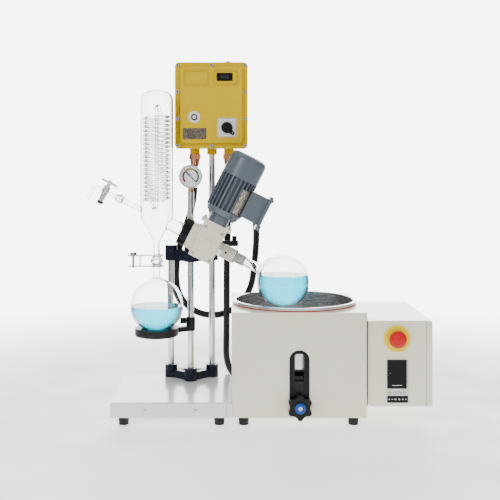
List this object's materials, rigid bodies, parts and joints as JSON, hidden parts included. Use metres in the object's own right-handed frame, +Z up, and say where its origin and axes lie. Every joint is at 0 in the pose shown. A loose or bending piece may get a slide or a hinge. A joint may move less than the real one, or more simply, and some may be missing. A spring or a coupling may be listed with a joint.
{
  "type": "rotary evaporator",
  "caption": "Bench rotary evaporator: tilted geared head turning a flask over a lifting heated bath, with condenser, receiver, gauge and control box on a rod stand.",
  "frame": {"origin": "on the bench under the middle of the whole apparatus", "axes": "+Z up, fronts of the stand, bath and control box face -Y, +X to the bath's side"},
  "size_m": [0.8257, 0.5933, 0.869],
  "materials": {
    "white_paint": "gloss",
    "cream_paint": "gloss",
    "cream_plastic": "satin",
    "navy_paint": "gloss",
    "black_metal": "satin",
    "chrome": "polished",
    "yellow_paint": "gloss",
    "motor_paint": "satin",
    "steel": "brushed",
    "brass": "satin",
    "black_plastic": "satin",
    "rubber": "matte",
    "red_rubber": "matte",
    "cable_jacket": "satin",
    "glass": "polished",
    "liquid": "polished",
    "ptfe": "satin",
    "white_plastic": "gloss",
    "red_plastic": "gloss",
    "yellow_plastic": "gloss"
  },
  "bodies": {
    "stand": {"base_plate": "white_paint", "gearbox_housing": "cream_paint", "gearbox_top_plate": "cream_paint", "bath_housing": "cream_paint", "controller_box": "cream_paint", "controller_cover": "cream_paint", "lower_bracket": "navy_paint", "upper_bracket": "navy_paint", "head_arm": "black_metal", "rod_left": "chrome", "rod_middle": "chrome", "rod_right": "chrome", "box_body": "yellow_paint", "box_cover": "yellow_paint", "motor_body": "motor_paint", "fan_cowl": "motor_paint", "terminal_box": "motor_paint", "terminal_lid": "motor_paint", "cover_bolts": "steel", "gauge_case": "steel", "joint_clamp": "steel", "bearings": "steel", "cable_glands": "brass", "cap_nut": "black_plastic", "mains_plug": "black_plastic", "rubber_feet": "rubber", "rim_gasket": "red_rubber", "motor_cable": "cable_jacket", "mains_cable": "cable_jacket", "mains_coil": "cable_jacket", "condenser_jacket": "glass", "condenser_coil": "glass", "feed_arm": "glass", "receiving_flask": "glass", "gauge_lens": "glass", "flask_liquid": "liquid", "receiving_liquid": "liquid", "stop_disc": "yellow_plastic"},
    "flask_rotor": {"spindle": "steel", "worm_wheel": "brass", "vapour_duct": "glass", "collar_nut": "chrome", "flask_collar": "cream_plastic", "neck_sleeve": "ptfe", "evaporating_flask": "glass"},
    "motor_rotor": {"motor_shaft": "steel", "motor_fan": "black_plastic"},
    "emergency_stop": {"stop_button": "red_plastic"},
    "start_key": {"start_button": "white_plastic"},
    "rotary_switch": {"switch_knob": "black_plastic"},
    "bath_lift": {"bath_pan": "steel", "heater_ring": "steel", "lift_bracket": "black_metal"},
    "lift_lock": {"star_knob": "black_plastic"},
    "feed_cock": {"stopcock_key": "ptfe"},
    "needle": {"gauge_needle": "black_plastic"},
    "receiver_support": {"support_ring": "black_metal"},
    "support_lock": {"ring_knob": "black_plastic"},
    "joint_screw": {"clamp_screw": "steel"},
    "tilt_lock": {"tilt_lock_knob": "black_plastic"}
  },
  "joints": [
    {"name": "flask_spin", "type": "hinge", "parent": "stand", "child": "flask_rotor", "pos_m": [-0.1654, 0.0085, 0.438], "axis": [0.8934, 0, -0.4493], "continuous": true},
    {"name": "motor_spin", "type": "hinge", "parent": "stand", "child": "motor_rotor", "pos_m": [-0.11108, -0.0245, 0.41068], "axis": [0.4493, 0, 0.8934], "continuous": true},
    {"name": "stop_push", "type": "slide", "parent": "stand", "child": "emergency_stop", "axis": [0, 1, 0], "range_m": [0, 0.005]},
    {"name": "start_push", "type": "slide", "parent": "stand", "child": "start_key", "axis": [0, 1, 0], "range_m": [0, 0.003], "stiffness_N_per_m": 800, "springref_m": -0.0005},
    {"name": "switch_turn", "type": "hinge", "parent": "stand", "child": "rotary_switch", "pos_m": [-0.0628, 0.0275, 0.697], "axis": [0, -1, 0], "range_deg": [0, 90]},
    {"name": "pan_lift", "type": "slide", "parent": "stand", "child": "bath_lift", "axis": [0, 0, 1], "range_m": [0, 0.061]},
    {"name": "star_knob_turn", "type": "hinge", "parent": "bath_lift", "child": "lift_lock", "pos_m": [0.1045, -0.1465, 0.0502], "axis": [0, -1, 0], "range_deg": [0, 360]},
    {"name": "stopcock_turn", "type": "hinge", "parent": "stand", "child": "feed_cock", "pos_m": [-0.36373, 0.0085, 0.53775], "axis": [0.4493, 0, 0.8934], "range_deg": [-90, 90]},
    {"name": "needle_turn", "type": "hinge", "parent": "stand", "child": "needle", "pos_m": [-0.155, 0.06, 0.5745], "axis": [0, -1, 0], "range_deg": [0, 270], "stiffness_Nm_per_rad": 0.0005, "springref_deg": -5.73},
    {"name": "support_slide", "type": "slide", "parent": "stand", "child": "receiver_support", "axis": [0, 0, -1], "range_m": [0, 0.09]},
    {"name": "support_knob_turn", "type": "hinge", "parent": "receiver_support", "child": "support_lock", "pos_m": [-0.167, 0.0675, 0.208], "axis": [-1, 0, 0], "range_deg": [0, 360]},
    {"name": "clamp_screw_turn", "type": "hinge", "parent": "stand", "child": "joint_screw", "pos_m": [-0.2945, 0.0085, 0.366], "axis": [0, 0, 1], "range_deg": [0, 360]},
    {"name": "tilt_lock_turn", "type": "hinge", "parent": "stand", "child": "tilt_lock", "pos_m": [-0.044, 0.0735, 0.41], "axis": [0, 0, 1], "range_deg": [0, 360]}
  ],
  "couplings": [
    {"joint": "motor_spin", "follows": "flask_spin", "ratio": 24}
  ]
}
